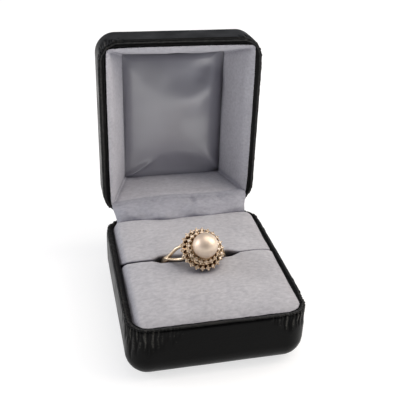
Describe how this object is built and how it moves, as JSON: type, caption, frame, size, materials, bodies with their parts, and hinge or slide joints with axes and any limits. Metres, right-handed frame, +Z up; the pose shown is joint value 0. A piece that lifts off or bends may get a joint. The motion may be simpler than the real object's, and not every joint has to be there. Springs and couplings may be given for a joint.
{
  "type": "halo ring in hinged ring box",
  "caption": "Gold pearl ring with a stepped halo of small stones and split shoulders, held in the slot between velvet pads in a leatherette ring box with a hinged lid.",
  "frame": {"origin": "centre of the flat underside of the box's base", "axes": "+X to the right-hand side of the box, +Y towards its hinge, +Z up"},
  "size_m": [0.048, 0.0723, 0.0718],
  "materials": {
    "leatherette": "semi-gloss grained leatherette",
    "velvet": "short matt pile",
    "satin": "satin weave with a soft sheen",
    "gold": "polished gold",
    "pearl": "nacre with a soft lustre",
    "stones": "faceted clear stones",
    "brass": "plain brass"
  },
  "bodies": {
    "base": {"base_shell": "leatherette", "base_rim": "leatherette", "front_pad": "velvet", "rear_pad": "velvet", "hinge_flap": "velvet", "base_hinge_leaf": "brass", "hinge_pin": "brass", "ring_mount": "gold", "pearl": "pearl"},
    "lid": {"lid_shell": "leatherette", "lid_rim": "leatherette", "lid_lining": "velvet", "lid_panel": "satin", "lid_hinge_leaf": "brass"}
  },
  "joints": [
    {"name": "lid_hinge", "type": "hinge", "parent": "base", "child": "lid", "pos_m": [0, 0.0279, 0.01695], "axis": [1, 0, 0], "range_deg": [0, 92], "deforming": ["hinge_flap"]}
  ]
}
